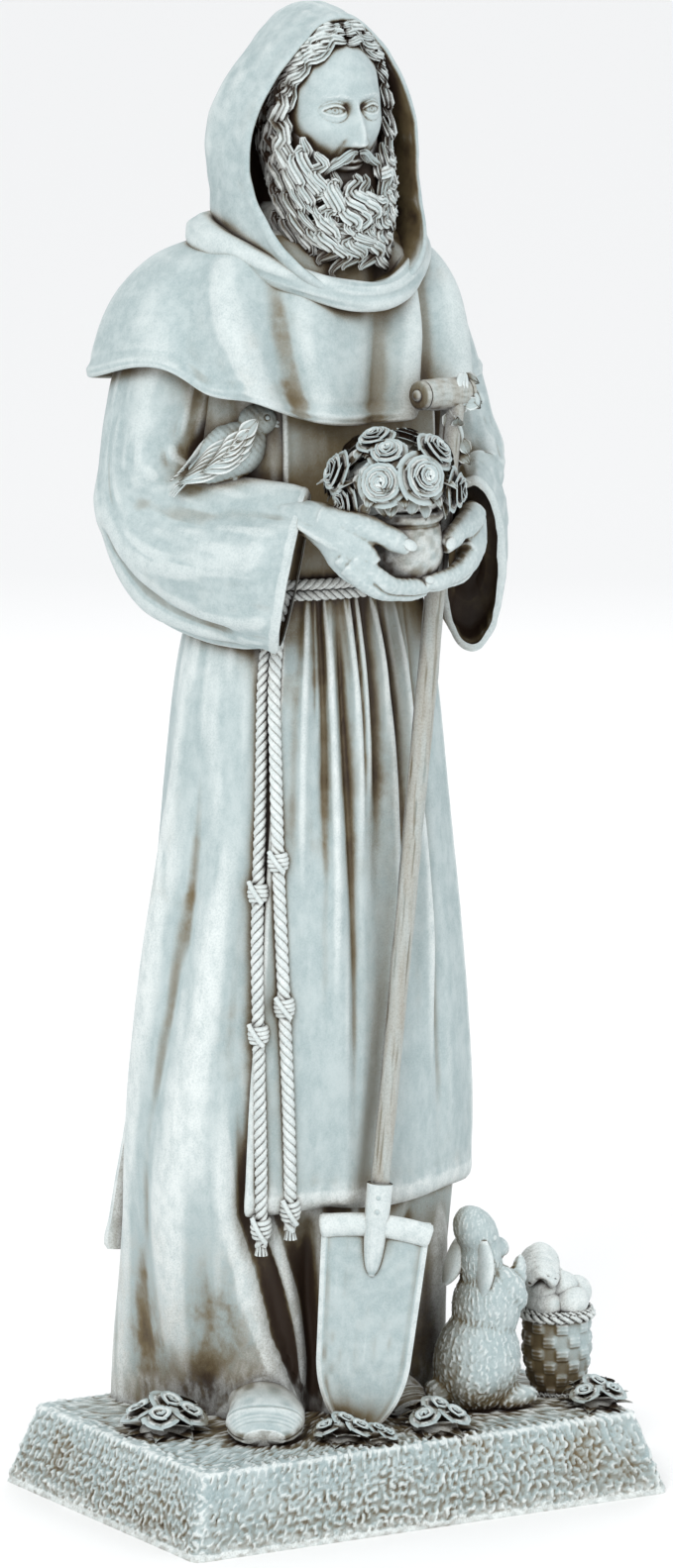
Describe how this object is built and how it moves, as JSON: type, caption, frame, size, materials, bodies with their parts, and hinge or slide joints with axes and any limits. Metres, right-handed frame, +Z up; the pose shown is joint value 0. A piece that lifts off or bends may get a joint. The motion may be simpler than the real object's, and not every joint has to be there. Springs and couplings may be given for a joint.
{
  "type": "saint fiacre statue",
  "caption": "Hooded, bearded gardener monk holding a pot of roses, with a spade, a bird, a rabbit and a basket, on a low plinth.",
  "frame": {"origin": "middle of the plinth's underside", "axes": "+Z up, -Y out of the figure's front, +X to the figure's left, where the rabbit and the basket stand"},
  "size_m": [0.345, 0.2655, 0.94],
  "materials": {
    "cast_stone": "matt stone-look resin, pale grey-green with brown wash in the hollows"
  },
  "bodies": {
    "root": {"statue": "cast_stone"}
  },
  "joints": []
}
